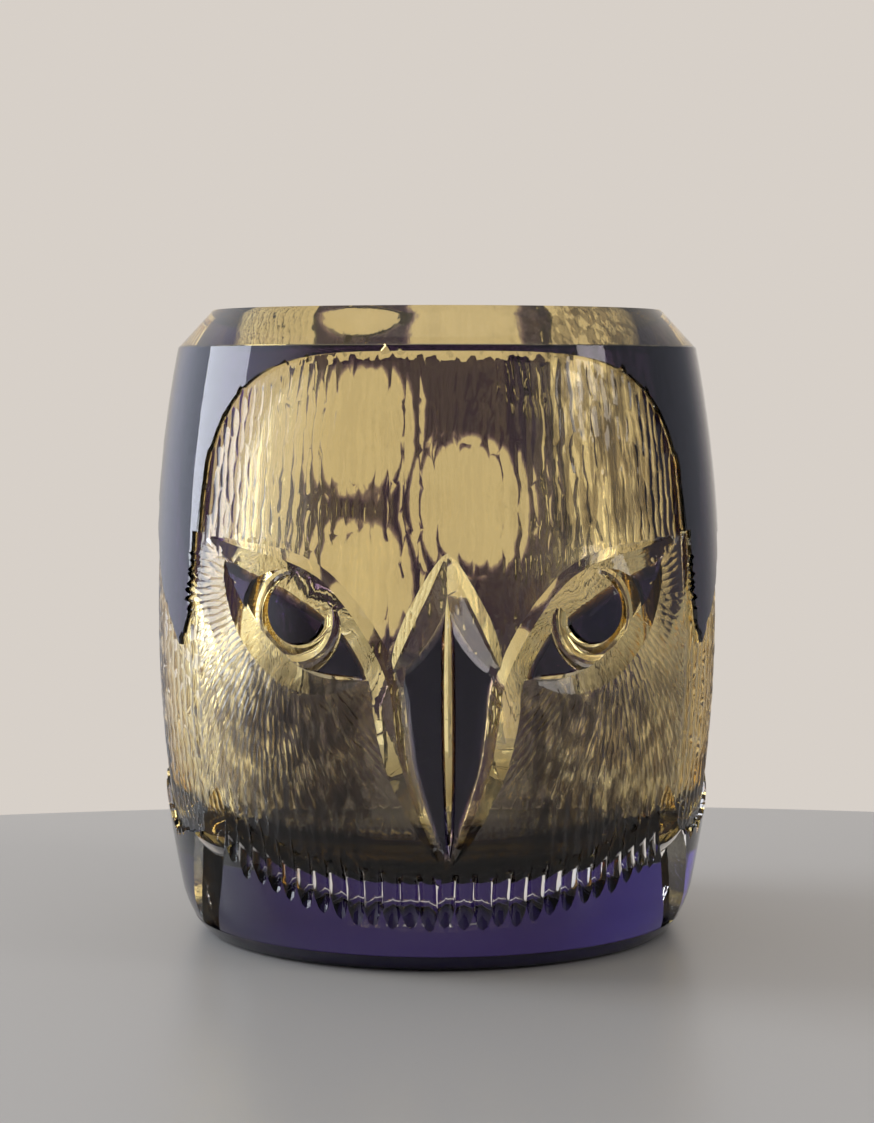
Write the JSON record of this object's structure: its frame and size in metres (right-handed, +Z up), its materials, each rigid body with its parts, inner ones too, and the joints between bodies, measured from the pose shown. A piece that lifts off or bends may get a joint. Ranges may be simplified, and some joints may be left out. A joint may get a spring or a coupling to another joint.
{
  "type": "cut glass tumbler",
  "caption": "Barrel-shaped drinking tumbler of layered clear, amber and violet crystal with a bird-of-prey face cut into its front.",
  "frame": {"origin": "centre of the underside, on the surface it stands on", "axes": "+Z up along the tumbler's axis, the cut face looks along -Y, +X is to a viewer's right"},
  "size_m": [0.0848, 0.0848, 0.092],
  "materials": {
    "clear_crystal": "polished cut crystal",
    "amber_glass": "polished amber casing",
    "violet_glass": "polished violet casing"
  },
  "bodies": {
    "root": {"crystal_body": "clear_crystal", "amber_lining": "amber_glass", "violet_crown": "violet_glass", "violet_back": "violet_glass", "violet_foot": "violet_glass", "violet_beak_left": "violet_glass", "violet_iris_left": "violet_glass", "violet_eye_outer_left": "violet_glass", "violet_eye_inner_left": "violet_glass", "violet_beak_right": "violet_glass", "violet_iris_right": "violet_glass", "violet_eye_outer_right": "violet_glass", "violet_eye_inner_right": "violet_glass"}
  },
  "joints": []
}
